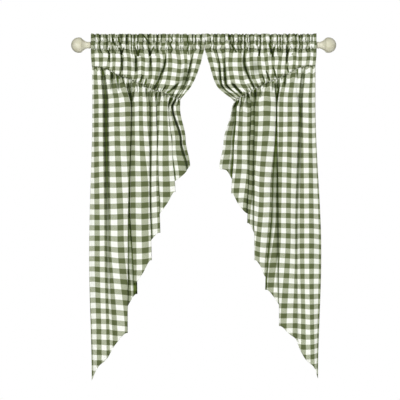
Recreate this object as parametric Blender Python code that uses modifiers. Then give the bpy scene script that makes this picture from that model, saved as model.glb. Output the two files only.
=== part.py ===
"""A pair of gathered swag curtains on a round rod with ball finials.

Frame: metres, +X to the right, +Y towards the window, +Z up.  The origin lies on the rod's axis,
half way along it.  Each curtain is two cloths: a yoke, which makes the ruffled heading and the rod
pocket, and a skirt, which is gathered onto the slanting lower edge of the yoke and falls in knife
pleats to a hem that rises from a long outer tail to the inner edge.

Places on a cloth are given in millimetres as `inward`, measured from the curtain's outer end
towards the middle of the rod, `drop`, measured down from the rod's axis, and `depth`, measured
away from the room.
"""

import math
from collections import namedtuple

import bmesh
import bpy
from mathutils import Vector

MM = 0.001

# --- rod and finials, metres -------------------------------------------------------------------
ROD_RADIUS = 0.0127
ROD_HALF_LENGTH = 0.5228
ROD_SIDES = 32
FACE_GAP = 0.0003
COLLAR_RADIUS = 0.0157
COLLAR_LENGTH = 0.0095
COLLAR_EDGE = 0.0015
GROOVE_RADIUS = 0.0134
GROOVE_PLACE = 0.0120
NECK_START = 0.0145
NECK_END = 0.0410
BALL_RADIUS = 0.0355
BALL_CENTRE = 0.0535
FINIAL_SIDES = 28
BALL_RINGS = 12
NECK_RINGS = 4
NECK_CURVE = 1.7
SHARP_ANGLE = math.radians(40)
MERGE_DISTANCE = 0.00001

# --- cloth: its thickness in metres, the rest in millimetres ------------------------------------
CLOTH = 1.5 * MM
HALF_WIDTH = 520.0      # from the middle of the rod to a curtain's outer end
SEAM_LAP = 6.0          # how far the skirt's top edge reaches up behind the yoke
SEAM_TUCK = 1.8         # how far behind the yoke it lies
SEAM_SILL = 2.0         # how far below the seam the skirt's folds begin
HAIRPIN_REACH = 4.0     # length of the legs of a hairpin
POCKET_DROP = 21.0      # foot of the rod pocket
POCKET_DEPTH = -1.5
YOKE_SWEEP = 1.85       # power that curves the yoke's gathers outwards on their way down
YOKE_STEPS = 2
SEAM_STEPS = 24

# Shares of a skirt's drop: where its folds' four places are given, and where its rows of points lie.
STATIONS = (0.0, 0.12, 0.60, 1.0)
SKIRT_ROWS = (0.04, 0.09, 0.15, 0.25, 0.38, 0.52, 0.68, 0.84, 1.0)
YOKE_ROWS = (0.25, 0.50, 0.75)

# How far the folds have opened, as a share of their depth, at a few shares of the skirt's drop.
Opening = namedtuple("Opening", "share open")
OPENINGS = (Opening(0.0, 0.0), Opening(0.04, 0.5), Opening(0.12, 0.72), Opening(0.35, 1.0))

# A fold of a skirt.  `seam`, `neck`, `middle` and `hem` are its inward places at the four stations,
# `drop` is where its hem hangs, `depth` its place from front to back, and `turn` half the width of
# its hairpin: above 0 where the cloth doubles back behind itself, below 0 where it comes forward,
# and 0 on a soft ridge or valley.
Fold = namedtuple("Fold", "seam neck middle hem drop depth turn")

LEFT_SKIRT = (
    Fold(seam=5, neck=6, middle=-9, hem=3, drop=1548, depth=0, turn=0),
    Fold(seam=28, neck=35, middle=33, hem=32, drop=1500, depth=-14, turn=0),
    Fold(seam=55, neck=68, middle=70, hem=76, drop=1444, depth=14, turn=0),
    Fold(seam=100, neck=120, middle=122, hem=120, drop=1380, depth=-14, turn=0),
    Fold(seam=158, neck=184, middle=170, hem=169, drop=1329, depth=-2, turn=3.5),
    Fold(seam=166, neck=160, middle=113, hem=111, drop=1264, depth=6, turn=3),
    Fold(seam=180, neck=193, middle=198, hem=213, drop=1150, depth=12, turn=-3),
    Fold(seam=190, neck=188, middle=180, hem=197, drop=1098, depth=3, turn=-2.5),
    Fold(seam=225, neck=225, middle=230, hem=236, drop=1058, depth=-9, turn=0),
    Fold(seam=262, neck=270, middle=270, hem=280, drop=993, depth=-3, turn=3),
    Fold(seam=272, neck=255, middle=231, hem=231, drop=941, depth=5, turn=2.5),
    Fold(seam=292, neck=300, middle=310, hem=319, drop=867, depth=8, turn=3),
    Fold(seam=302, neck=290, middle=272, hem=272, drop=816, depth=15, turn=3),
    Fold(seam=335, neck=330, middle=339, hem=348, drop=736, depth=13, turn=0),
    Fold(seam=360, neck=356, middle=375, hem=389, drop=678, depth=14, turn=3),
    Fold(seam=368, neck=345, middle=346, hem=358, drop=636, depth=22, turn=3),
    Fold(seam=380, neck=368, middle=393, hem=406, drop=599, depth=17, turn=0),
    Fold(seam=392, neck=378, middle=417, hem=446, drop=571, depth=22, turn=0),
    Fold(seam=412, neck=411, middle=437, hem=456, drop=557, depth=10, turn=0),
)

RIGHT_SKIRT = (
    Fold(seam=4, neck=4, middle=-23, hem=-8, drop=1539, depth=0, turn=0),
    Fold(seam=25, neck=34, middle=32, hem=24, drop=1486, depth=-9, turn=0),
    Fold(seam=60, neck=80, middle=83, hem=74, drop=1392, depth=9, turn=0),
    Fold(seam=105, neck=120, middle=124, hem=122, drop=1332, depth=-12, turn=0),
    Fold(seam=165, neck=180, middle=174, hem=172, drop=1297, depth=-2, turn=3.5),
    Fold(seam=174, neck=158, middle=117, hem=117, drop=1241, depth=6, turn=3),
    Fold(seam=188, neck=192, middle=219, hem=235, drop=1130, depth=12, turn=-3),
    Fold(seam=198, neck=185, middle=204, hem=229, drop=1070, depth=3, turn=-2.5),
    Fold(seam=235, neck=240, middle=249, hem=256, drop=1024, depth=-9, turn=0),
    Fold(seam=272, neck=286, middle=294, hem=288, drop=993, depth=-3, turn=3),
    Fold(seam=281, neck=268, middle=247, hem=247, drop=932, depth=5, turn=2.5),
    Fold(seam=300, neck=300, middle=309, hem=308, drop=858, depth=8, turn=3),
    Fold(seam=308, neck=292, middle=292, hem=300, drop=816, depth=15, turn=3),
    Fold(seam=330, neck=345, middle=350, hem=362, drop=730, depth=13, turn=0),
    Fold(seam=350, neck=372, middle=385, hem=396, drop=685, depth=14, turn=3),
    Fold(seam=358, neck=360, middle=360, hem=367, drop=641, depth=22, turn=3),
    Fold(seam=368, neck=380, middle=404, hem=418, drop=576, depth=16, turn=0),
    Fold(seam=380, neck=390, middle=428, hem=448, drop=571, depth=9, turn=0),
)

# A gather of a yoke: its inward place at the rod and at the seam, and how deep it is between them.
Gather = namedtuple("Gather", "rod seam depth")

LEFT_YOKE = (
    Gather(rod=0, seam=4, depth=0),
    Gather(rod=60, seam=58, depth=-5),
    Gather(rod=141, seam=132, depth=6),
    Gather(rod=172, seam=160, depth=-6),
    Gather(rod=210, seam=192, depth=6),
    Gather(rod=240, seam=218, depth=-6),
    Gather(rod=270, seam=243, depth=5),
    Gather(rod=305, seam=270, depth=-9),
    Gather(rod=345, seam=297, depth=10),
    Gather(rod=382, seam=326, depth=-11),
    Gather(rod=432, seam=368, depth=9),
    Gather(rod=455, seam=386, depth=-7),
    Gather(rod=476, seam=400, depth=7),
    Gather(rod=503, seam=407, depth=-5),
    Gather(rod=524, seam=412, depth=0),
)

RIGHT_YOKE = (
    Gather(rod=0, seam=4, depth=0),
    Gather(rod=60, seam=58, depth=-5),
    Gather(rod=138, seam=130, depth=6),
    Gather(rod=168, seam=158, depth=-6),
    Gather(rod=202, seam=187, depth=6),
    Gather(rod=233, seam=211, depth=-6),
    Gather(rod=265, seam=234, depth=5),
    Gather(rod=298, seam=257, depth=-9),
    Gather(rod=331, seam=280, depth=10),
    Gather(rod=366, seam=307, depth=-11),
    Gather(rod=408, seam=338, depth=9),
    Gather(rod=434, seam=356, depth=-7),
    Gather(rod=461, seam=370, depth=7),
    Gather(rod=490, seam=376, depth=-5),
    Gather(rod=515.6, seam=380, depth=0),
)

# The seam between yoke and skirt: its drop at a few inward places.
Seam = namedtuple("Seam", "inward drop")

LEFT_SEAM = (
    Seam(-20, 98), Seam(55, 99), Seam(115, 137), Seam(190, 160),
    Seam(280, 207), Seam(330, 217), Seam(440, 264),
)
RIGHT_SEAM = (
    Seam(-20, 94), Seam(80, 97), Seam(130, 136), Seam(195, 160),
    Seam(280, 199), Seam(325, 224), Seam(440, 294),
)

# The path of the upper cloth from its hem behind the rod, up and over the ruffle and down in front.
# `wave` is the share of the gathers' depth that shows there.
Bend = namedtuple("Bend", "drop depth wave")

POCKET_PATH = (
    Bend(drop=21, depth=1.5, wave=0),
    Bend(drop=13, depth=9.2, wave=0),
    Bend(drop=5, depth=14.5, wave=0),
    Bend(drop=-5, depth=14.5, wave=0),
    Bend(drop=-11.3, depth=8.5, wave=0),
    Bend(drop=-20, depth=1.3, wave=0),
    Bend(drop=-36, depth=1.2, wave=0.35),
    Bend(drop=-51, depth=1.3, wave=0.5),
    Bend(drop=-51, depth=-1.3, wave=0.5),
    Bend(drop=-36, depth=-1.2, wave=0.35),
    Bend(drop=-20, depth=-1.3, wave=0),
    Bend(drop=-11.3, depth=-8.5, wave=0),
    Bend(drop=-5, depth=-14.5, wave=0),
    Bend(drop=5, depth=-14.5, wave=0),
    Bend(drop=13, depth=-9.2, wave=0),
    Bend(drop=21, depth=-1.5, wave=0),
)

GINGHAM_GREEN = (0.36, 0.42, 0.26, 1.0)
CREAM = (0.74, 0.70, 0.55, 1.0)


def clear_scene():
    """Removes every object that the scene holds."""
    for item in list(bpy.data.objects):
        bpy.data.objects.remove(item)


def material(name, colour, roughness):
    """A Principled material of one colour."""
    finish = bpy.data.materials.new(name)
    finish.use_nodes = True
    shader = finish.node_tree.nodes["Principled BSDF"]
    shader.inputs["Base Color"].default_value = colour
    shader.inputs["Roughness"].default_value = roughness
    shader.inputs["Metallic"].default_value = 0.0
    return finish


def add_object(name, mesh, collection, finish):
    """Puts a mesh in the collection as a named object with its material."""
    item = bpy.data.objects.new(name, mesh)
    collection.objects.link(item)
    item.data.materials.append(finish)
    return item


# --- curves --------------------------------------------------------------------------------------

def rounded(points, piece, share):
    """A point on the smooth curve that rounds off each corner of a line of control points.

    Piece k runs from the middle of the line before point k to the middle of the line after it,
    and the first and last pieces reach the ends of the line.
    """
    corner = points[piece]
    start = points[0] if piece == 1 else (points[piece - 1] + corner) / 2
    end = points[-1] if piece == len(points) - 2 else (corner + points[piece + 1]) / 2
    back = 1 - share
    return start * back * back + corner * 2 * back * share + end * share * share


def even_places(count, steps):
    """The places on a rounded curve of `count` control points: `steps` to a piece."""
    places = [(piece, step / steps) for piece in range(1, count - 1) for step in range(steps)]
    return places + [(count - 2, 1.0)]


def height_along(seam):
    """A function that gives the seam's drop at any inward place."""
    line = [Vector((point.inward, point.drop)) for point in seam]
    curve = [rounded(line, piece, share) for piece, share in even_places(len(line), SEAM_STEPS)]

    def drop_at(inward):
        for left, right in zip(curve, curve[1:]):
            if inward <= right.x:
                share = (inward - left.x) / (right.x - left.x)
                return left.y + (right.y - left.y) * share
        return curve[-1].y

    return drop_at


def between(values, stations, place):
    """The value at a place between stations, eased so that it has no corner at them."""
    for index in range(len(stations) - 1):
        if place <= stations[index + 1]:
            share = (place - stations[index]) / (stations[index + 1] - stations[index])
            ease = share * share * (3 - 2 * share)
            return values[index] + (values[index + 1] - values[index]) * ease
    return values[-1]


# --- skirt ---------------------------------------------------------------------------------------

def fold_places(folds, share):
    """The inward place of every fold, at one share of the skirt's drop below the seam."""
    return [between((fold.seam, fold.neck, fold.middle, fold.hem), STATIONS, share)
            for fold in folds]


def hairpin(here, before, after, depth, turn):
    """Control points of a hairpin as (inward, depth), each leg leading towards its neighbour."""
    arriving = max(-HAIRPIN_REACH, min(HAIRPIN_REACH, (before - here) / 2))
    leaving = max(-HAIRPIN_REACH, min(HAIRPIN_REACH, (after - here) / 2))
    return [(here + arriving, depth - turn), (here, depth - turn),
            (here, depth + turn), (here + leaving, depth + turn)]


def skirt_controls(folds, drop_at, share):
    """The control points across a skirt, at one share of its drop below the seam."""
    spread = between([stage.open for stage in OPENINGS], [stage.share for stage in OPENINGS], share)
    tuck = SEAM_TUCK * (1 - spread)
    places = fold_places(folds, share)
    points = []
    for index, fold in enumerate(folds):
        here = places[index]
        top = drop_at(fold.seam) + SEAM_SILL
        drop = top + (fold.drop - top) * share
        bend = [(here, fold.depth * spread)]
        if fold.turn:
            bend = hairpin(here, places[index - 1], places[index + 1],
                           fold.depth * spread, fold.turn * spread)
        points += [Vector((inward, depth + tuck, drop)) for inward, depth in bend]
    return points


def skirt_places(folds):
    """The places on a skirt's rounded curve: two for a soft fold and five for a hairpin."""
    places = []
    piece = 1
    for fold in folds[1:-1]:
        if fold.turn:
            places += [(piece, 0.0), (piece + 1, 0.0), (piece + 1, 0.5),
                       (piece + 2, 0.5), (piece + 3, 0.0)]
            piece += 4
        else:
            places += [(piece, 0.0), (piece, 0.5)]
            piece += 1
    return places + [(piece - 1, 1.0)]


def skirt_rows(folds, seam):
    """Rows of points of a skirt, from the edge tucked behind the yoke down to the hem."""
    drop_at = height_along(seam)
    places = skirt_places(folds)
    seam_line = skirt_controls(folds, drop_at, 0.0)
    top = [rounded(seam_line, piece, part) for piece, part in places]
    rows = [[Vector((point.x, SEAM_TUCK, drop_at(point.x) - SEAM_LAP)) for point in top],
            [Vector((point.x, SEAM_TUCK, drop_at(point.x) + SEAM_SILL)) for point in top]]
    for share in SKIRT_ROWS:
        controls = skirt_controls(folds, drop_at, share)
        row = []
        for (piece, part), start in zip(places, top):
            point = rounded(controls, piece, part)
            point.z += (drop_at(start.x) + SEAM_SILL - start.z) * (1 - share)
            row.append(point)
        rows.append(row)
    return rows


# --- yoke ----------------------------------------------------------------------------------------

def yoke_rows(gathers, seam):
    """Rows of points of a yoke, from its hem behind the rod, over the ruffle, to the seam."""
    drop_at = height_along(seam)
    places = even_places(len(gathers), YOKE_STEPS)

    def across(values, depths):
        line = [Vector((value, depth, 0)) for value, depth in zip(values, depths)]
        return [rounded(line, piece, part) for piece, part in places]

    at_rod = across([g.rod for g in gathers], [g.depth for g in gathers])
    at_seam = across([g.seam for g in gathers], [g.depth for g in gathers])
    rows = [[Vector((point.x, bend.depth + point.y * bend.wave, bend.drop)) for point in at_rod]
            for bend in POCKET_PATH]

    def below(share, lift, wave):
        row = []
        for top, end in zip(at_rod, at_seam):
            seam_drop = drop_at(end.x)
            inward = top.x + (end.x - top.x) * share ** YOKE_SWEEP
            drop = POCKET_DROP + (seam_drop - POCKET_DROP) * share - lift
            depth = POCKET_DEPTH * (1 - share) + top.y * wave
            row.append(Vector((inward, depth, drop)))
        return row

    for share in YOKE_ROWS:
        rows.append(below(share, 0.0, math.sin(math.pi * share)))
    rows.append(below(1.0, SEAM_LAP + SEAM_SILL, 0.0))
    rows.append(below(1.0, 0.0, 0.0))
    return rows


# --- pieces --------------------------------------------------------------------------------------

def add_cloth(name, rows, side, collection, finish):
    """Makes a sheet whose grid follows the rows of points, with the cloth's thickness."""
    across = len(rows[0]) - 1
    down = len(rows) - 1
    grid = bmesh.new()
    bmesh.ops.create_grid(grid, x_segments=across, y_segments=down, size=0.5)
    for corner in grid.verts:
        column = round((corner.co.x + 0.5) * across)
        row = round((0.5 - corner.co.y) * down)
        point = rows[row][column]
        corner.co = Vector((side * (HALF_WIDTH - point.x), point.y, -point.z)) * MM
    mesh = bpy.data.meshes.new(name)
    grid.to_mesh(mesh)
    grid.free()
    mesh.shade_smooth()
    cloth = add_object(name, mesh, collection, finish)
    wall = cloth.modifiers.new("Cloth", "SOLIDIFY")
    wall.thickness = CLOTH
    wall.offset = 0.0
    return cloth


def add_rod(collection, finish):
    """Makes the round rod along X."""
    shape = bmesh.new()
    bmesh.ops.create_cone(shape, cap_ends=True, segments=ROD_SIDES, radius1=ROD_RADIUS,
                          radius2=ROD_RADIUS, depth=2 * ROD_HALF_LENGTH)
    mesh = bpy.data.meshes.new("rod")
    shape.to_mesh(mesh)
    shape.free()
    mesh.shade_smooth()
    mesh.set_sharp_from_angle(angle=SHARP_ANGLE)
    rod = add_object("rod", mesh, collection, finish)
    rod.rotation_euler = (0, math.pi / 2, 0)
    return rod


def finial_profile():
    """Radius and height of the finial's outline, from the tip of the ball to the collar's face."""
    join = math.acos((NECK_END - BALL_CENTRE) / BALL_RADIUS)
    outline = []
    for ring in range(BALL_RINGS + 1):
        angle = join * ring / BALL_RINGS
        outline.append((BALL_RADIUS * math.sin(angle), BALL_CENTRE + BALL_RADIUS * math.cos(angle)))
    neck_radius = BALL_RADIUS * math.sin(join)
    for ring in range(1, NECK_RINGS + 1):
        share = ring / NECK_RINGS
        radius = COLLAR_RADIUS + (neck_radius - COLLAR_RADIUS) * (1 - share) ** NECK_CURVE
        outline.append((radius, NECK_END + (NECK_START - NECK_END) * share))
    outline.append((GROOVE_RADIUS, GROOVE_PLACE))
    outline.append((COLLAR_RADIUS, COLLAR_LENGTH))
    outline.append((COLLAR_RADIUS, COLLAR_EDGE))
    outline.append((COLLAR_RADIUS - COLLAR_EDGE, 0.0))
    outline.append((0.0, 0.0))
    return outline


def add_finial(name, side, collection, finish):
    """Makes a turned finial whose collar butts against the end of the rod."""
    mesh = bpy.data.meshes.new(name)
    outline = finial_profile()
    edges = [(index, index + 1) for index in range(len(outline) - 1)]
    mesh.from_pydata([(radius, 0.0, height) for radius, height in outline], edges, [])
    finial = add_object(name, mesh, collection, finish)
    finial.location = (side * (ROD_HALF_LENGTH + FACE_GAP), 0, 0)
    finial.rotation_euler = (0, side * math.pi / 2, 0)
    turn = finial.modifiers.new("Turned", "SCREW")
    turn.steps = FINIAL_SIDES
    turn.render_steps = FINIAL_SIDES
    turn.use_merge_vertices = True
    turn.merge_threshold = MERGE_DISTANCE
    turn.use_smooth_shade = True
    return finial


def build():
    """Builds the whole pair of curtains on their rod."""
    clear_scene()
    pair = bpy.data.collections.new("swag_curtain_pair")
    bpy.context.scene.collection.children.link(pair)
    cream = material("cream_paint", CREAM, 0.45)
    gingham = material("gingham_cloth", GINGHAM_GREEN, 0.9)
    add_rod(pair, cream)
    add_finial("finial_left", -1, pair, cream)
    add_finial("finial_right", 1, pair, cream)
    add_cloth("yoke_left", yoke_rows(LEFT_YOKE, LEFT_SEAM), -1, pair, gingham)
    add_cloth("yoke_right", yoke_rows(RIGHT_YOKE, RIGHT_SEAM), 1, pair, gingham)
    add_cloth("skirt_left", skirt_rows(LEFT_SKIRT, LEFT_SEAM), -1, pair, gingham)
    add_cloth("skirt_right", skirt_rows(RIGHT_SKIRT, RIGHT_SEAM), 1, pair, gingham)


build()
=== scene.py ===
"""The finished look of a pair of gathered swag curtains on their rod.

Each curtain is two cloths. The yoke makes the ruffled heading and the rod pocket, and the skirt is
gathered onto the yoke's slanting lower edge and falls in knife pleats to a cascading hem. Both are
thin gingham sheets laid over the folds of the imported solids, with their gathers and creases placed
on them. The rod is painted wood, and each of its ends carries a turned finial.

Places on a cloth are in millimetres, as in the construction: `inward` from the curtain's outer end,
`drop` below the rod's axis and `depth` away from the room. Places in the cloth's own weave are
counted in checks: how many repeats of the gingham lie between there and the outer selvage, or the
topmost coloured row.
"""

from __future__ import annotations

import logging
import math
from dataclasses import dataclass
from enum import Enum

import bpy
import numpy as np
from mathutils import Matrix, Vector


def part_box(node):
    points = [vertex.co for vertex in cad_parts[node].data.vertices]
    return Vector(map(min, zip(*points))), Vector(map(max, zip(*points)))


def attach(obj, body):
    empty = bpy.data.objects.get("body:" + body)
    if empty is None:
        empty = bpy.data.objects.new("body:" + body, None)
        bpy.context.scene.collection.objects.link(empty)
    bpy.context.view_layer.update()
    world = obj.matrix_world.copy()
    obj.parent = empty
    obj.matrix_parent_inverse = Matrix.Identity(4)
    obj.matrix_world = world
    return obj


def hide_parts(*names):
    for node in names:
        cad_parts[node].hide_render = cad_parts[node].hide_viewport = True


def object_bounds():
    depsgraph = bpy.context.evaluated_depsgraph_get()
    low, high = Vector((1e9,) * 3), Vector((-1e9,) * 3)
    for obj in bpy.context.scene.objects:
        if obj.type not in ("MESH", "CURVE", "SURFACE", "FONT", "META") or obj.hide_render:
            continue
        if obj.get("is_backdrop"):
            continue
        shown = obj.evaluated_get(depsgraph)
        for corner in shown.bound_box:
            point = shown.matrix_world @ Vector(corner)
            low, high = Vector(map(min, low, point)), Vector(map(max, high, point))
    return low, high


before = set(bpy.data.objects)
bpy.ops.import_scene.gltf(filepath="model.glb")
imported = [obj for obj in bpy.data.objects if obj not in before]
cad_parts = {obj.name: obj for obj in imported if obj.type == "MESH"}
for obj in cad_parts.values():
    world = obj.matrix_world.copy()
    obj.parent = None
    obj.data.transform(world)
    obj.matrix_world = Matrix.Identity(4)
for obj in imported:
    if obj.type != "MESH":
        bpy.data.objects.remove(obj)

Array = np.ndarray
Socket = bpy.types.NodeSocket
Material = bpy.types.Material
Piece = bpy.types.Object

LOG = logging.getLogger("swag_curtains")
MM = 0.001
FULL_TURN = 2 * math.pi
BODY = "root"


class Side(Enum):
    """Which end of the rod a piece belongs to, as the sign of its X."""

    LEFT = -1
    RIGHT = 1

    def node(self, piece: str) -> str:
        """The name of this side's own copy of a piece."""
        return f"{piece}_{self.name.lower()}"


# --- lines and curves ------------------------------------------------------------------------------

YARN_GAP = 1.5           # the least gap that light finds its way into between two points


def smooth(share: Array | float) -> Array:
    """A share from 0 to 1, eased so that it starts and stops gently."""
    held = np.clip(share, 0.0, 1.0)
    return held * held * (3.0 - 2.0 * held)


def eased(values: tuple[float, ...], stations: tuple[float, ...], places: Array) -> Array:
    """Reads a table of stations, level at each station and eased between them.

    Args:
        values: One value at each station.
        stations: The stations, rising.
        places: Where to read the table.

    Returns:
        The value at each place.
    """
    known, at = np.asarray(values, float), np.asarray(stations, float)
    index = np.clip(np.searchsorted(at, places) - 1, 0, len(at) - 2)
    share = smooth((places - at[index]) / (at[index + 1] - at[index]))
    return known[index] + (known[index + 1] - known[index]) * share


def flowing(places: Array, stations: Array, values: Array) -> Array:
    """Reads a smooth line that runs through every station without overshooting any.

    Args:
        places: Where to read the line. Past its ends it runs straight on.
        stations: The stations, rising.
        values: The values at the stations along the first axis, with any further axes.

    Returns:
        The values at the places, with the same further axes.
    """
    at, known, places = np.asarray(stations, float), np.asarray(values, float), np.asarray(places, float)
    extra = (1,) * (known.ndim - 1)
    gaps = np.diff(at).reshape((-1,) + extra)
    slopes = np.diff(known, axis=0) / gaps
    product = slopes[1:] * slopes[:-1]
    agree = product > 0
    total = np.where(agree, slopes[1:] + slopes[:-1], 1.0)
    tangents = np.concatenate([slopes[:1], np.where(agree, 2 * product / total, 0.0), slopes[-1:]])
    index = np.clip(np.searchsorted(at, places, side="right") - 1, 0, len(at) - 2)
    width = (at[index + 1] - at[index]).reshape(places.shape + extra)
    share = (places - at[index]).reshape(places.shape + extra) / width
    held = np.clip(share, 0.0, 1.0)
    start, end = known[index], known[index + 1]
    leave, arrive = tangents[index] * width, tangents[index + 1] * width
    line = (start * (1 + 2 * held) * (1 - held) ** 2 + leave * held * (1 - held) ** 2
            + end * held**2 * (3 - 2 * held) - arrive * held**2 * (1 - held))
    return line + np.where(share < 0, leave, arrive) * (share - held)


def rounded(points: Array, piece: int, share: float) -> Array:
    """Reads the smooth curves that round off the corners of lines of control points.

    Args:
        points: Control points, as (line, point, axis).
        piece: Which corner is rounded there. Pieces meet half way between control points.
        share: How far along that piece.

    Returns:
        One point on each line.
    """
    corner = points[:, piece]
    last = points.shape[1] - 2
    start = points[:, 0] if piece == 1 else (points[:, piece - 1] + corner) / 2
    end = points[:, -1] if piece == last else (corner + points[:, piece + 1]) / 2
    back = 1.0 - share
    return start * back * back + corner * 2 * back * share + end * share * share


def arc_lengths(points: Array) -> Array:
    """How far each point of a row lies along that row's cloth, from its first point."""
    steps = np.linalg.norm(np.diff(points, axis=1), axis=2)
    return np.concatenate([np.zeros((len(points), 1)), np.cumsum(steps, axis=1)], axis=1)


def narrowness(points: Array, shade_boost: float) -> Array:
    """How much of the room's light the cloth beside each point keeps away from it, as shade that is painted
    into the cloth's colour.

    Args:
        points: A grid of points, as (inward, depth, drop).
        shade_boost: How many times deeper the cloth is taken to lie than the grid shows, which deepens the
            painted shade.

    Returns:
        0 on an open crown, rising to 1 at the bottom of a narrow fold or under a pleat.
    """
    closed = np.zeros(points.shape[:2])
    for row, line in enumerate(points):
        aside = line[None, :, 0] - line[:, None, 0]
        behind = np.maximum(line[:, None, 1] - line[None, :, 1], 0.0) * shade_boost
        clear = np.abs(aside) + YARN_GAP
        sight = clear / np.hypot(clear, behind)
        first = np.where(aside <= 0, sight, 1.0).min(axis=1)
        second = np.where(aside >= 0, sight, 1.0).min(axis=1)
        closed[row] = 1.0 - first * second
    return closed


# --- gathers, creases and ripples ------------------------------------------------------------------

SPACING_RAMP = 1.6               # how fast the usual gap changes from its first to its last value
SPACING_DELAY = 0.1              # and how late it starts to
UNEVEN_GAPS = (0.55, 1.45)       # shares of the usual gap between valleys
UNEVEN_DEPTHS = (0.5, 1.0)       # shares of the gathers' height
UNEVEN_REACH = 0.6               # spread of the reaches, as a logarithm
SPREADING = 30.0                 # how far from the stitches a valley is twice as wide
CREASE_LEAD = 0.2                # share of its length that a crease takes to deepen before its start
CREASE_RUN_OUT = 5 / 9           # share of its length over which it runs out
CREASE_SHARPNESS = 1.5           # 1 would be a sharp bottom, and 2 a round one
RIPPLES = 9                      # how many waves are laid over one another
RIPPLE_ACROSS = (70, 260)        # from crest to crest across the cloth
RIPPLE_DOWN = (160, 700)         # and down it


@dataclass(frozen=True)
class Gathers:
    """The small valleys that fan out over a cloth from a row of gathering stitches.

    Each valley has its place along the row, its depth as a share of the gathers' height, how far it
    reaches in millimetres, and its slant as millimetres sideways for each millimetre away.
    """

    places: Array
    depths: Array
    reaches: Array
    slants: Array
    width: float

    @classmethod
    def along(cls, start: float, end: float, spacing: tuple[float, float], reach: float,
              width: float, lean: float, seed: int) -> Gathers:
        """Spaces valleys unevenly along a row of stitches.

        Args:
            start: Where the row starts, in millimetres.
            end: Where it ends.
            spacing: The usual gap between valleys at the row's start and at its end.
            reach: How far a usual valley reaches from the stitches.
            width: Half the width of a valley at the stitches.
            lean: How much the valleys slant.
            seed: Picks one set of uneven gaps and depths.

        Returns:
            The valleys.
        """
        draw = np.random.default_rng(seed)
        places, place = [], start
        while place < end:
            share = smooth((place - start) / (end - start) * SPACING_RAMP - SPACING_DELAY)
            place += (spacing[0] + (spacing[1] - spacing[0]) * float(share)) * draw.uniform(*UNEVEN_GAPS)
            places.append(place)
        count = len(places)
        return cls(np.array(places), draw.uniform(*UNEVEN_DEPTHS, count),
                   reach * draw.lognormal(0.0, UNEVEN_REACH, count), draw.normal(0.0, lean, count), width)

    def relief(self, place: Array, away: Array) -> Array:
        """How far the cloth stands out: 1 on the crowns and less in the valleys.

        Args:
            place: Where each point's thread crosses the row of stitches.
            away: How far each point is from the stitches.

        Returns:
            The relief at each point.
        """
        relief = np.ones(np.broadcast(place, away).shape)
        width = self.width * (1.0 + away / SPREADING)
        for middle, depth, reach, slant in zip(self.places, self.depths, self.reaches, self.slants):
            near = np.exp(-np.abs(place - middle - slant * away) / width)
            relief = np.minimum(relief, 1.0 - depth * np.exp(-away / reach) * near)
        return relief

    def crowns(self, place: Array, away: Array, near: float, fade: float, more: float = 0.0,
               rise: float = 1.0, lead: float = 0.0) -> Array:
        """How far the cloth between the valleys stands out towards the room.

        Args:
            place: Where each point's thread crosses the row of stitches.
            away: How far each point is from the stitches.
            near: How high the crowns stand right at the stitches, in millimetres.
            fade: Over how many millimetres they sink again.
            more: How much higher they rise a little further away.
            rise: Over how many millimetres they rise.
            lead: The share of that rise that they have at the stitches already.

        Returns:
            The height at each point, in millimetres.
        """
        height = (near + more * smooth(away / rise + lead)) * np.exp(-away / fade)
        return height * self.relief(place, away)

    def shade(self, place: Array, away: Array, even: float, deeper: float, reach: float) -> Array:
        """How much painted shade the cloth that the stitches draw up is given.

        Args:
            place: Where each point's thread crosses the row of stitches.
            away: How far each point is from the stitches.
            even: The shade all along the stitches.
            deeper: What the valleys add to it.
            reach: How far from the stitches the shade reaches, in millimetres.

        Returns:
            The shade at each point.
        """
        valley = 1.0 - self.relief(place, away)
        return (even + deeper * valley) * np.exp(-((away / reach) ** 2))


@dataclass(frozen=True)
class Crease:
    """A trough pressed along a line of hanging cloth.

    The ends are (inward, drop) places. The crease is full at its start and runs out at its end.
    """

    start: tuple[float, float]
    end: tuple[float, float]
    depth: float
    width: float = 3.4

    def push(self, inward: Array, drop: Array) -> Array:
        """How far the crease pushes the cloth away from the room at each place."""
        run_in, run_down = self.end[0] - self.start[0], self.end[1] - self.start[1]
        length = math.hypot(run_in, run_down)
        from_in, from_down = inward - self.start[0], drop - self.start[1]
        along = (from_in * run_in + from_down * run_down) / length**2
        across = np.abs(from_in * run_down - from_down * run_in) / length
        taper = smooth(along / CREASE_LEAD + 1.0) * smooth((1.0 - along) / CREASE_RUN_OUT)
        return self.depth * taper * np.exp(-((across / self.width) ** CREASE_SHARPNESS))


def pressed(creases: tuple[Crease, ...], inward: Array, drop: Array) -> Array:
    """How far all the creases together push the cloth away from the room at each place."""
    return sum(crease.push(inward, drop) for crease in creases)


def ripples(across: Array, down: Array | float, seed: int, height: float,
            closer: tuple[float, float] = (1.0, 1.0)) -> Array:
    """Slow uneven waves such as any hanging cloth has.

    Args:
        across: Places across the cloth, in millimetres.
        down: Places down the cloth.
        seed: Picks one set of waves.
        height: About how high a usual wave is.
        closer: How many times closer together they lie than usual, across and down.

    Returns:
        The height of the waves at each place.
    """
    draw = np.random.default_rng(seed)
    across, down = across * closer[0], down * closer[1]
    total = np.zeros(np.broadcast(across, down).shape)
    for _ in range(RIPPLES):
        pitch_across, pitch_down = draw.uniform(*RIPPLE_ACROSS), draw.uniform(*RIPPLE_DOWN)
        turn, phase = draw.choice((-1.0, 1.0)), draw.uniform(0, FULL_TURN)
        total = total + np.sin(FULL_TURN * (across / pitch_across + turn * down / pitch_down) + phase)
    return height * total / math.sqrt(RIPPLES)


# --- finishes --------------------------------------------------------------------------------------


def linear(red: int, green: int, blue: int) -> tuple[float, float, float, float]:
    """A screen colour of three numbers up to 255, as a shader's linear colour."""
    parts = [part / 255 for part in (red, green, blue)]
    return tuple(p / 12.92 if p < 0.04045 else ((p + 0.055) / 1.055) ** 2.4 for p in parts) + (1.0,)


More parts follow.
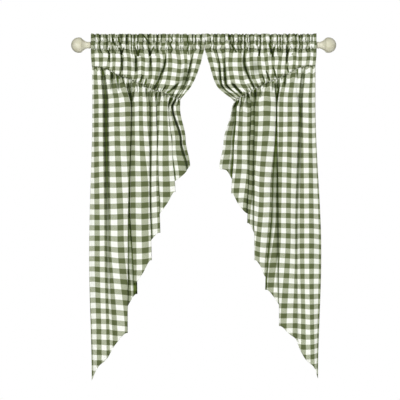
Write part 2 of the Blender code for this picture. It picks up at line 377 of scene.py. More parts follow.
class Graph:
    """The node tree of a material or a world, with short calls for the nodes that are used here."""

    def __init__(self, owner: Material | bpy.types.World) -> None:
        """Empties the node tree of a new material or world."""
        self.owner = owner
        owner.use_nodes = True
        self.tree = owner.node_tree
        self.tree.nodes.clear()

    def add(self, kind: str, inputs: dict | None = None, **settings) -> bpy.types.Node:
        """Adds a node.

        Args:
            kind: The node's type.
            inputs: Sockets by name or number, each with the value or the output that feeds it.
            **settings: The node's own settings.

        Returns:
            The node.
        """
        node = self.tree.nodes.new(kind)
        for key, value in settings.items():
            setattr(node, key, value)
        for key, value in (inputs or {}).items():
            if isinstance(value, Socket):
                self.tree.links.new(value, node.inputs[key])
            else:
                node.inputs[key].default_value = value
        return node

    def sum(self, operation: str, *values: float | Socket) -> Socket:
        """The result of one Math node."""
        return self.add("ShaderNodeMath", dict(enumerate(values)), operation=operation).outputs[0]

    def blend(self, share: float | Socket, first: tuple | Socket,
              second: tuple | Socket, how: str = "MIX") -> Socket:
        """Two colours blended by a share."""
        node = self.add("ShaderNodeMix", {0: share, 6: first, 7: second}, data_type="RGBA",
                        blend_type=how)
        return node.outputs[2]

    def ramp(self, value: Socket, low: float, high: float, start: float = 0.0, end: float = 1.0) -> Socket:
        """A value stretched from low..high to start..end and held at both ends."""
        return self.add("ShaderNodeMapRange", {0: value, 1: low, 2: high, 3: start, 4: end}).outputs[0]

    def noise(self, where: Socket, stretch: tuple[float, float, float], detail: float = 2.0) -> Socket:
        """Noise over the given coordinates, stretched by its own scale along each axis."""
        mapped = self.add("ShaderNodeMapping", {0: where, 3: stretch}).outputs[0]
        return self.add("ShaderNodeTexNoise", {"Vector": mapped, "Scale": 1.0, "Detail": detail}).outputs[0]

    def grey(self, value: Socket) -> Socket:
        """A value as a shade of grey."""
        return self.add("ShaderNodeCombineColor", {0: value, 1: value, 2: value}).outputs[0]

    def finish(self, shader: Socket, kind: str = "Material") -> bpy.types.ID:
        """Joins the shader to the output and gives the finished material or world."""
        self.add(f"ShaderNodeOutput{kind}", {"Surface": shader})
        return self.owner


GRAIN = "grain"
STITCHING = "stitching"
FOLD_SHADE = "fold_shade"


@dataclass(frozen=True)
class Gingham:
    """Plain-weave cotton in even checks, with the rows of stitches that its hems and pocket show.

    The grain map counts checks across and down. The stitching map holds millimetres along the
    nearest row of stitches and millimetres from it, below 0 towards the hem's edge. The thread's
    soft edge lies `thread_edge` from the row, and the row draws the cloth in as far as `drawn_in`.
    """

    name: str = "gingham_weave"
    white: tuple = linear(246, 247, 241)
    half: tuple = linear(169, 175, 148)
    full: tuple = linear(94, 103, 67)
    glow_white: tuple = linear(240, 246, 226)
    glow_half: tuple = linear(158, 180, 122)
    glow_full: tuple = linear(88, 112, 54)
    # The painted shade: the dark green that the colour is multiplied towards in narrow folds.
    shaded: tuple = linear(94, 110, 48)
    thread: tuple = linear(120, 126, 92)
    threads: float = 44.0
    thread_share: float = 0.35
    thread_edge: tuple[float, float] = (0.3, 0.7)
    stitch_pitch: float = 2.6
    drawn_in: float = 2.2
    sheer: float = 0.15
    roughness: float = 0.88
    shade_range: tuple[float, float] = (0.54, 0.88)
    upper_yarn: float = 0.62
    slub_stretch: tuple[float, float] = (2.2, 46.0)
    slub_shades: tuple[float, float] = (0.93, 1.03)

    def material(self) -> Material:
        """Builds the cloth's material."""
        graph = Graph(bpy.data.materials.new(self.name))
        grain = graph.add("ShaderNodeUVMap", uv_map=GRAIN).outputs[0]
        parts = graph.add("ShaderNodeSeparateXYZ", {0: grain}).outputs
        warp, weft = self.stripe(graph, parts[0]), self.stripe(graph, parts[1])
        over, height = self.weave(graph, parts[0], parts[1])
        faces = (self.white, self.half, self.full)
        glows = (self.glow_white, self.glow_half, self.glow_full)
        front, through = (self.cloth_colour(graph, warp, weft, over, three) for three in (faces, glows))
        stitch, edge = self.stitches(graph)
        front = graph.blend(1.0, front, self.slubs(graph, grain), "MULTIPLY")
        # Painted shade: darkens the colour towards `shaded` in narrow folds, on the side that faces the
        # room.
        front = graph.blend(self.fold_shade(graph), front, self.shaded, "MULTIPLY")
        front = graph.blend(graph.sum("MULTIPLY", stitch, self.thread_share), front, self.thread)
        bump = graph.add("ShaderNodeBump", {"Strength": 0.35, "Distance": 0.0002, "Height": height})
        seam = graph.add("ShaderNodeBump", {"Strength": 0.8, "Distance": 0.0006, "Height": edge,
                                            "Normal": bump.outputs[0]})
        cloth = graph.add("ShaderNodeBsdfPrincipled", {
            "Base Color": front, "Roughness": self.roughness, "Specular IOR Level": 0.15,
            "Sheen Weight": 0.05, "Sheen Roughness": 0.5, "Normal": seam.outputs[0]})
        glow = graph.add("ShaderNodeBsdfTranslucent", {"Color": through, "Normal": seam.outputs[0]})
        mixed = graph.add("ShaderNodeMixShader", {0: self.sheer, 1: cloth.outputs[0], 2: glow.outputs[0]})
        return graph.finish(mixed.outputs[0])

    @staticmethod
    def stripe(graph: Graph, checks: Socket) -> Socket:
        """1 in the coloured half of each repeat and 0 in the white half, with a yarn's soft edge."""
        turn = graph.sum("MULTIPLY", checks, FULL_TURN)
        return graph.ramp(graph.sum("COSINE", turn), -0.10, 0.10)

    def weave(self, graph: Graph, across: Socket, down: Socket) -> tuple[Socket, Socket]:
        """The plain weave of single yarns.

        Args:
            graph: The material.
            across: Checks across the cloth.
            down: Checks down the cloth.

        Returns:
            How much of the warp lies over the weft, and the height of the yarns.
        """
        rate = math.pi * self.threads
        first = graph.sum("SINE", graph.sum("MULTIPLY", across, rate))
        second = graph.sum("SINE", graph.sum("MULTIPLY", down, rate))
        crossing = graph.sum("MULTIPLY", first, second)
        over = graph.ramp(crossing, -0.5, 0.5)
        return over, graph.sum("ABSOLUTE", crossing)

    def fold_shade(self, graph: Graph) -> Socket:
        """How much painted shade the folds lay on the side of the cloth that faces the room."""
        deep = graph.add("ShaderNodeAttribute", attribute_name=FOLD_SHADE).outputs["Fac"]
        normal = graph.add("ShaderNodeTexCoord").outputs["Normal"]
        facing = graph.ramp(graph.add("ShaderNodeSeparateXYZ", {0: normal}).outputs[1], -0.1, 0.1, 1.0, 0.0)
        return graph.sum("MULTIPLY", graph.ramp(deep, *self.shade_range), facing)

    def slubs(self, graph: Graph, grain: Socket) -> Socket:
        """The uneven thickness of the yarns, as a shade of grey to multiply by."""
        slow, quick = self.slub_stretch
        across = graph.noise(grain, (slow, quick, 1.0))
        down = graph.noise(grain, (quick, slow, 1.0))
        both = graph.sum("ADD", across, down)
        return graph.grey(graph.ramp(both, 0.7, 1.3, *self.slub_shades))

    def cloth_colour(self, graph: Graph, warp: Socket, weft: Socket,
                     over: Socket, colours: tuple) -> Socket:
        """The colour where coloured or white yarns cross.

        Args:
            graph: The material.
            warp: How far the warp is coloured.
            weft: How far the weft is coloured.
            over: How far the warp lies over the weft.
            colours: The colours with no, one and both yarns coloured.

        Returns:
            The colour.
        """
        white, half, full = colours
        lean = graph.ramp(over, 0.0, 1.0, 1.0 - self.upper_yarn, self.upper_yarn)
        count = graph.sum("ADD", graph.sum("MULTIPLY", warp, lean),
                          graph.sum("MULTIPLY", weft, graph.sum("SUBTRACT", 1.0, lean)))
        pale = graph.blend(graph.ramp(count, 0.0, 0.5), white, half)
        return graph.blend(graph.ramp(count, 0.5, 1.0), pale, full)

    def stitches(self, graph: Graph) -> tuple[Socket, Socket]:
        """The rows of stitches.

        Args:
            graph: The material.

        Returns:
            1 on the thread itself, and the height of the cloth where the row draws it in.
        """
        where = graph.add("ShaderNodeUVMap", uv_map=STITCHING).outputs[0]
        parts = graph.add("ShaderNodeSeparateXYZ", {0: where}).outputs
        away = graph.sum("ABSOLUTE", parts[1])
        row = graph.ramp(away, *self.thread_edge, 1.0, 0.0)
        turn = graph.sum("MULTIPLY", parts[0], FULL_TURN / self.stitch_pitch)
        dash = graph.ramp(graph.sum("SINE", turn), -0.6, -0.2)
        return graph.sum("MULTIPLY", row, dash), graph.ramp(away, 0.0, self.drawn_in)


@dataclass(frozen=True)
class Paint:
    """Cream paint on turned wood: satin, slightly mottled and darker where it has yellowed.

    Its clouds, tints, specks and brush marks each have their own scale along the three axes.
    """

    name: str
    pale: tuple = linear(212, 210, 190)
    deep: tuple = linear(190, 188, 162)
    blush: tuple = linear(208, 198, 180)
    roughness: tuple[float, float] = (0.46, 0.62)
    clouds: tuple[float, float, float] = (38.0, 38.0, 38.0)
    tints: tuple[float, float, float] = (75.0, 60.0, 66.0)
    specks: tuple[float, float, float] = (900.0, 900.0, 900.0)
    brush_marks: tuple[float, float, float] = (60.0, 900.0, 900.0)
    speck_share: float = 0.6
    most_blush: float = 0.45

    def material(self) -> Material:
        """Builds the paint's material."""
        graph = Graph(bpy.data.materials.new(self.name))
        where = graph.add("ShaderNodeTexCoord").outputs["Object"]
        cloud = graph.noise(where, self.clouds, detail=3.0)
        tint = graph.noise(where, self.tints, detail=1.0)
        colour = graph.blend(graph.ramp(cloud, 0.36, 0.66), self.deep, self.pale)
        colour = graph.blend(graph.ramp(tint, 0.52, 0.74, 0.0, self.most_blush), colour, self.blush)
        speck = graph.sum("MULTIPLY", graph.noise(where, self.specks), self.speck_share)
        height = graph.sum("ADD", speck, graph.noise(where, self.brush_marks))
        bump = graph.add("ShaderNodeBump", {"Strength": 0.25, "Distance": 0.0002, "Height": height})
        rough = graph.ramp(cloud, 0.3, 0.7, self.roughness[1], self.roughness[0])
        shader = graph.add("ShaderNodeBsdfPrincipled", {
            "Base Color": colour, "Roughness": rough, "Normal": bump.outputs[0]})
        return graph.finish(shader.outputs[0])


@dataclass(frozen=True)
class PaleFloor:
    """The plain pale floor far below the curtains."""

    name: str = "pale_floor"
    colour: tuple = linear(236, 236, 232)

    def material(self) -> Material:
        """Builds the floor's material."""
        graph = Graph(bpy.data.materials.new(self.name))
        where = graph.add("ShaderNodeTexCoord").outputs["Object"]
        cloud = graph.ramp(graph.noise(where, (3.0, 3.0, 3.0)), 0.2, 0.8, 0.97, 1.0)
        colour = graph.blend(1.0, self.colour, graph.grey(cloud), "MULTIPLY")
        shader = graph.add("ShaderNodeBsdfPrincipled", {"Base Color": colour, "Roughness": 0.8})
        return graph.finish(shader.outputs[0])


# --- cloth -----------------------------------------------------------------------------------------

HALF_WIDTH = 520.0       # from the middle of the rod to a curtain's outer end
SHEET = 0.6              # thickness of one layer of cloth
HEM_LAYERS = 2.4         # how many times thicker a hem is, pressed flat
HEM_STITCH = 11.0        # how far a hem's stitches lie from its edge
SKIRT_CHECK = (54.0, 48.0)   # one repeat of the gingham, across and down
YOKE_CHECK = (43.0, 38.3)
PUCKERS = {"reach": 8.0, "width": 2.6, "lean": 0.4}  # the small valleys right at any row of stitches


def from_sides(across: Array) -> Array:
    """How far each point of a cloth lies from the nearer of its two side edges."""
    return np.minimum(across - across[:, :1], across[:, -1:] - across)


@dataclass
class ClothGrid:
    """A sheet as a grid of points: (inward, depth, drop), with its two maps, its hems and the painted shade
    of its folds.
    """

    points: Array
    grain: Array
    stitching: Array
    hem: Array
    shade: Array

    def build(self, name: str, side: Side, finish: Material) -> Piece:
        """Makes the sheet's mesh, with the thickness of its cloth.

        Args:
            name: The piece's name.
            side: Which curtain it belongs to.
            finish: Its material.

        Returns:
            The piece.
        """
        down, across = self.points.shape[:2]
        inward, depth, drop = (self.points[..., axis].ravel() for axis in range(3))
        places = np.stack([side.value * (HALF_WIDTH - inward), depth, -drop], axis=1) * MM
        corner = np.arange(down * across).reshape(down, across)
        loops = [corner[:-1, :-1], corner[1:, :-1], corner[1:, 1:], corner[:-1, 1:]]
        faces = np.stack([loop.ravel() for loop in loops], axis=1)
        if side is Side.RIGHT:
            faces = faces[:, ::-1]
        mesh = bpy.data.meshes.new(name)
        mesh.from_pydata(places.tolist(), [], faces.tolist())
        for title, field in ((GRAIN, self.grain), (STITCHING, self.stitching)):
            layer = mesh.uv_layers.new(name=title)
            layer.uv.foreach_set("vector", field.reshape(-1, 2)[faces.ravel()].ravel().astype(np.float32))
        # The painted shade of the folds, which the material multiplies into the cloth's colour.
        shade = mesh.attributes.new(FOLD_SHADE, "FLOAT", "POINT")
        shade.data.foreach_set("value", self.shade.ravel().astype(np.float32))
        mesh.shade_smooth()
        mesh.materials.append(finish)
        cloth = bpy.data.objects.new(name, mesh)
        bpy.context.scene.collection.objects.link(cloth)
        group = cloth.vertex_groups.new(name="hem")
        group.add(np.flatnonzero(self.hem.ravel()).tolist(), 1.0, "REPLACE")
        wall = cloth.modifiers.new("Cloth", "SOLIDIFY")
        wall.thickness = SHEET * HEM_LAYERS * MM
        wall.offset = 0.0
        wall.vertex_group = group.name
        wall.thickness_vertex_group = 1.0 / HEM_LAYERS
        return cloth


@dataclass
class Seam:
    """The slanting seam between a yoke and its skirt, with the gathers on both sides of it.

    `points` are its corners, as (inward, drop), which are rounded off. `start` is the inward place
    where its gathers start.
    """

    points: tuple[tuple[float, float], ...]
    seed: int
    start: float = -5.0
    curve_steps: int = 24

    def __post_init__(self) -> None:
        """Works out the seam's curve and its gathers."""
        line = np.array(self.points, float)[None]
        curve = [rounded(line, piece, step / self.curve_steps)[0]
                 for piece in range(1, line.shape[1] - 1) for step in range(self.curve_steps)]
        self.curve = np.array(curve + [line[0, -1]])
        row = (self.start, self.points[-1][0])
        self.above, self.below = (
            Gathers.along(*row, spacing=(26.0, 13.0), reach=reach, width=3.8, lean=lean, seed=self.seed)
            for reach, lean in ((30.0, 0.18), (62.0, 0.14)))
        self.puckers = Gathers.along(*row, spacing=(11.0, 10.0), **PUCKERS, seed=self.seed + 1)

    def drop_at(self, inward: Array) -> Array:
        """The seam's drop at any inward place."""
        return np.interp(inward, self.curve[:, 0], self.curve[:, 1])

    def drawn(self, place: Array, away: Array) -> Array:
        """How much painted shade the cloth that the seam draws up is given at each place."""
        return self.puckers.shade(place, away, even=0.50, deeper=0.72, reach=8.5)

    def fullness(self, inward: Array) -> Array:
        """How full the gathers are: about half at the outer end, and full further in."""
        flat_to, full_from, least = 30.0, 140.0, 0.45
        return least + (1.0 - least) * smooth((inward - flat_to) / (full_from - flat_to))


# --- skirts ----------------------------------------------------------------------------------------

STATIONS = (0.0, 0.12, 0.60, 1.0)    # seam, neck, middle and hem, as shares of a fold's drop
OPEN_STATIONS = (0.0, 0.04, 0.12)
OPEN_SHARES = (0.15, 0.65, 1.0)      # how far the folds have opened at those stations
HAIRPIN_REACH = 4.0              # how far a hairpin's two legs reach from its nose
LAP_ROWS = (6.0, 3.0, 0.0)       # how far the rows of the edge behind the yoke lie above the seam
SEAM_TUCK = 1.8                  # how far that edge lies behind the yoke
SEAM_SILL = 2.0                  # how far the skirt's first full row lies below the seam
LEVEL_PLACES = (30.0, 235.0, 350.0)  # the inward places that each level of the gingham is given at
STEEPEST_RUN = 0.2               # keeps a hem's slope within reason where the cloth turns back


@dataclass(frozen=True)
class Fold:
    """A fold of a skirt.

    `seam`, `neck`, `middle` and `hem` are its inward places at four stations down the skirt, and
    `drop` is where its hem hangs. `turn` is half the width of its hairpin: above 0 where the cloth
    doubles back behind itself, below 0 where it comes forward and 0 on a soft ridge or valley.
    `depths` are its places from front to back at neck, middle and hem, and `checks` says which
    check of the cloth lies on it there.
    """

    seam: float
    neck: float
    middle: float
    hem: float
    drop: float
    turn: float
    depths: tuple[float, float, float]
    checks: tuple[float, float, float]


@dataclass(frozen=True)
class Level:
    """Where one coloured row of the gingham hangs: its drop at three inward places."""

    check: float
    outer: float
    middle: float
    inner: float


@dataclass
class Skirt:
    """The lower cloth of a curtain, gathered onto the yoke's seam and pleated into a cascade.

    `widest` is the share of the rows where its columns are spaced out. `gathered`, `settled` and
    `pulled` say how far below the seam its gathers sink, its waves reach their full height and its
    checks are drawn out of line, and `gathered` also how far the painted shade of its gathers reaches.
    Cloth that lies `cover_reach` behind a pleat's edge is covered, and keeps only `covered_waves` of
    its waves.
    """

    side: Side
    folds: tuple[Fold, ...]
    levels: tuple[Level, ...]
    creases: tuple[Crease, ...]
    seam: Seam
    seed: int
    flat: tuple[float, float] = (0.95, 1.46)
    cut_area: float = 0.83
    rows: int = 142
    spacing: float = 3.0
    row_crowding: float = 1.3
    widest: float = 0.6
    gathered: float = 110.0
    settled: float = 120.0
    cover_reach: float = 10.0
    covered_waves: float = 0.2
    pulled: float = 45.0

    def make(self, finish: Material) -> Piece:
        """Builds the skirt and hides the part of the construction that it replaces.

        Args:
            finish: The cloth's material.

        Returns:
            The skirt.
        """
        shares = np.linspace(0.0, 1.0, self.rows) ** self.row_crowding
        points, anchors = self.hang(shares)
        start = points[0].copy()
        place = np.broadcast_to(start[:, 0], points.shape[:2])
        below = points[..., 2] - self.seam.drop_at(place)
        points[..., 1] += self.relief(points, place, below, self.front_share(points))
        grain = self.lay_grain(points, anchors, shares, below)
        # Painted shade, kept in the fold_shade attribute: narrow folds, cloth under pleats and the seam's
        # gathers.
        hanging = narrowness(points, shade_boost=1.7)
        gathered = narrowness(points, shade_boost=4.5) * np.exp(-((below / self.gathered) ** 2))
        shade = np.maximum(np.maximum(self.seam.drawn(place, below), hanging), gathered)
        points, grain = self.add_lap(points, grain, start)
        stitching, hem = self.find_hems(grain)
        shade = np.concatenate([np.zeros((len(LAP_ROWS), len(start))), shade])
        sheet = ClothGrid(points, grain, stitching, hem, shade)
        skirt = sheet.build(self.side.node("gingham_skirt"), self.side, finish)
        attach(skirt, BODY)
        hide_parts(self.side.node("skirt"))
        self.side.node("gingham_yoke")
        LOG.info("%s: %d points, %.0f mm across its cloth", skirt.name, points.size // 3,
                 arc_lengths(points[..., :2])[len(points) // 2, -1])
        return skirt

    def controls(self, shares: Array) -> tuple[Array, list[int]]:
        """Places the points that the cloth runs through.

        Args:
            shares: The rows, as shares of the drop.

        Returns:
            The points as (point, row, axis), and which of them are the folds themselves.
        """
        spread = eased(OPEN_SHARES, OPEN_STATIONS, shares)
        tuck = SEAM_TUCK * (1.0 - spread)
        here = [eased((f.seam, f.neck, f.middle, f.hem), STATIONS, shares) for f in self.folds]
        line, crests = [], []
        for index, fold in enumerate(self.folds):
            top = self.seam.drop_at(fold.seam) + SEAM_SILL
            drop = top + (fold.drop - top) * shares
            depth = eased((fold.depths[0], *fold.depths), STATIONS, shares) * spread + tuck
            nose = np.stack([here[index], depth, drop], axis=1)
            if not fold.turn:
                crests.append(len(line))
                line.append(nose)
                continue
            for neighbour, way in ((index - 1, -1), (index + 1, 1)):
                leg = np.clip((here[neighbour] - here[index]) / 2, -HAIRPIN_REACH, HAIRPIN_REACH)
                line.append(nose + np.stack([leg, way * fold.turn * spread, 0 * leg], axis=1))
            crests.append(len(line) - 1)
            line.insert(-1, nose)
        return np.stack(line), crests

    def hang(self, shares: Array) -> tuple[Array, list[int]]:
        """Hangs the cloth over its folds.

        Args:
            shares: The rows, as shares of the drop.

        Returns:
            The grid of points, and the columns that run down the folds.
        """
        controls, crests = self.controls(shares)
        middle = controls[:, int(self.rows * self.widest), :2]
        spans = np.linalg.norm(np.diff(middle, axis=0), axis=1)
        stations = np.concatenate([[0.0], np.cumsum(spans)])
        steps = np.maximum(2, np.round(spans / self.spacing)).astype(int)
        places = [start + span * np.arange(count) / count
                  for start, span, count in zip(stations, spans, steps)]
        places = np.concatenate([*places, stations[-1:]])
        anchors = np.concatenate([[0], np.cumsum(steps)])[crests].tolist()
        points = flowing(places, stations, controls).transpose(1, 0, 2)
        lift = self.seam.drop_at(points[0, :, 0]) + SEAM_SILL - points[0, :, 2]
        points[..., 2] += lift * (1.0 - shares[:, None])
        return points, anchors

    def lay_grain(self, points: Array, anchors: list[int], shares: Array, below: Array) -> Array:
        """Args:
            points: The grid of points.
            anchors: The columns that run down the folds.
            shares: The rows, as shares of the drop.
            below: How far each point hangs below the seam.

        Returns:
            Checks across and down, for each point.
        """
        lengths = arc_lengths(points[..., :2])
        known = np.stack([eased((f.checks[0], *f.checks), STATIONS, shares) for f in self.folds], axis=1)
        across = np.stack([np.interp(length, length[anchors], checks)
                           for length, checks in zip(lengths, known)])
        drops = np.array([(level.outer, level.middle, level.inner) for level in self.levels])
        checks = np.array([level.check for level in self.levels])
        inward, drop = points[..., 0], points[..., 2]
        rows = [flowing(drop, drops[:, place], checks) for place in range(len(LEVEL_PLACES))]
        first = smooth((inward - LEVEL_PLACES[0]) / (LEVEL_PLACES[1] - LEVEL_PLACES[0]))
        second = smooth((inward - LEVEL_PLACES[1]) / (LEVEL_PLACES[2] - LEVEL_PLACES[1]))
        down = rows[0] * (1 - first) + rows[1] * (first - second) + rows[2] * second
        cloth, pulled = across * SKIRT_CHECK[0], np.exp(-below / self.pulled)
        down = down + ripples(cloth, drop, self.seed + 3, height=0.035, closer=(1.0, 0.5))
        down = down + pulled * ripples(cloth, drop, self.seed + 4, height=0.10, closer=(4.0, 3.0))
        return np.stack([across, down], axis=2)

    def front_share(self, points: Array) -> Array:
        """1 where the cloth shows and 0 where it lies behind a pleat that came before it."""
        inward = points[..., 0]
        cover = np.maximum.accumulate(inward, axis=1)
        return smooth((inward - cover) / self.cover_reach + 1.0)

    def relief(self, points: Array, place: Array, below: Array, front: Array) -> Array:
        """How far gathers, creases and ripples push the cloth away from the room.

        Args:
            points: The grid of points.
            place: Where each point's thread meets the seam.
            below: How far each point hangs below the seam.
            front: 1 where the cloth shows and 0 where it is covered.

        Returns:
            The push at each point, in millimetres.
        """
        crowns = self.seam.below.crowns(place, below, near=2.5, more=11.5, rise=9.0, fade=self.gathered)
        puckers = self.seam.puckers.crowns(place, below, near=4.5, fade=14.0)
        push = pressed(self.creases, points[..., 0], points[..., 2]) - puckers
        push = push - self.seam.fullness(place) * crowns
        across = arc_lengths(points[..., :2])
        waves = ripples(across, points[..., 2], self.seed, height=1.3)
        waves = waves + ripples(across, points[..., 2], self.seed + 1, height=0.35, closer=(3.1, 2.3))
        covered = self.covered_waves + (1.0 - self.covered_waves) * front
        return push * front + waves * smooth(below / self.settled) * covered

    def add_lap(self, points: Array, grain: Array, start: Array) -> tuple[Array, Array]:
        """Adds the edge that reaches up behind the yoke, above the seam.

        Args:
            points: The grid of points below the seam.
            grain: Its checks.
            start: The points of its top row before any relief.

        Returns:
            The whole grid and its checks.
        """
        inward, seam = start[:, 0], self.seam.drop_at(start[:, 0])
        tuck = np.full_like(inward, SEAM_TUCK)
        laps = [np.stack([inward, tuck, seam - up], axis=1) for up in LAP_ROWS]
        lap_grain = [grain[0] - (0.0, (up + SEAM_SILL) / SKIRT_CHECK[1]) for up in LAP_ROWS]
        return np.concatenate([laps, points]), np.concatenate([lap_grain, grain])

    @staticmethod
    def find_hems(grain: Array) -> tuple[Array, Array]:
        """Finds the hems along the lower edge and both sides.


        Returns:
            The stitching map, and which points lie within a hem.
        """
        across, down = grain[..., 0] * SKIRT_CHECK[0], grain[..., 1] * SKIRT_CHECK[1]
        run, fall = np.gradient(across[-1]), np.gradient(down[-1])
        slope = np.hypot(run, fall) / np.maximum(np.abs(run), STEEPEST_RUN)
        lower = (down[-1] - down) / slope
        sides = from_sides(across)
        along_hem = np.broadcast_to(np.cumsum(np.hypot(run, fall)), across.shape)
        from_edge = np.minimum(lower, sides)
        along = np.where(lower < sides, along_hem, down)
        return np.stack([along, from_edge - HEM_STITCH], axis=2), from_edge < HEM_STITCH


# --- yokes -----------------------------------------------------------------------------------------

POCKET_DROP = 21.0               # the pocket's stitches run this far above and below the rod's axis
HEADING_DROP = -52.0             # the heading's top fold
YOKE_STATIONS = (0.0, 0.30, 0.70, 1.0)  # rod, upper, lower and seam, as shares of the panel's drop
ROD_ROW = (-4, 530)              # where the pocket's stitches start and end
SCALLOP = 12.0                   # how far down the scalloped top draws the heading with it
HEADING_CROWN = 8.0              # how far the cloth between the valleys stands out in the heading
POCKET_CROWN = 11.0              # and on the pocket and the panel
CROWN_RISE = 6.0                 # how far from the stitches it takes to rise
CROWN_LEAD = 0.4                 # the share of that rise that it has at the stitches already
PUCKER_CROWNS = {"near": 3.5, "fade": 10.0}

# How the cloth runs up behind the rod and down in front of it, as (drop, depth) before its gathers.
BACK_PROFILE = ((-52.0, -0.6), (-36.0, -0.6), (-21.0, -0.8), (-11.3, 9.0), (-5.0, 14.2), (0.0, 15.0),
                (5.0, 14.4), (13.0, 8.6), (21.0, -1.6))
FRONT_PROFILE = ((-52.0, -1.2), (-44.0, -3.1), (-36.0, -3.6), (-21.0, -4.2), (-12.0, -10.4),
                 (-5.0, -14.4), (0.0, -15.2), (5.0, -14.6), (12.0, -11.4), (21.0, -5.2))
# The drops of the rows of points, up the back and down the front.
BACK_DROPS = (21, 17, 13, 9, 5, 2, 0, -2, -5, -8, -11, -15, -18, -21, -26, -32, -38, -44, -49)
FRONT_DROPS = (-52.0, -51.0, -48.5, *np.linspace(-45, -24, 9), *np.linspace(-22, 19, 19))


@dataclass(frozen=True)
class Check:
    """Where one coloured column of a yoke's gingham lies, as inward places from the rod to the seam."""

    number: float
    rod: float
    upper: float
    lower: float
    seam: float


@dataclass(frozen=True)
class Roll:
    """A long fold of a yoke: a trough, or a roll towards the room where its depth is below 0.

    `sharp` troughs are as narrow as a crease, and `peak` is the share of the way down where the
    fold is deepest.
    """

    top: float
    foot: float
    depth: float
    width: float
    sharp: bool = False
    peak: float = 0.5


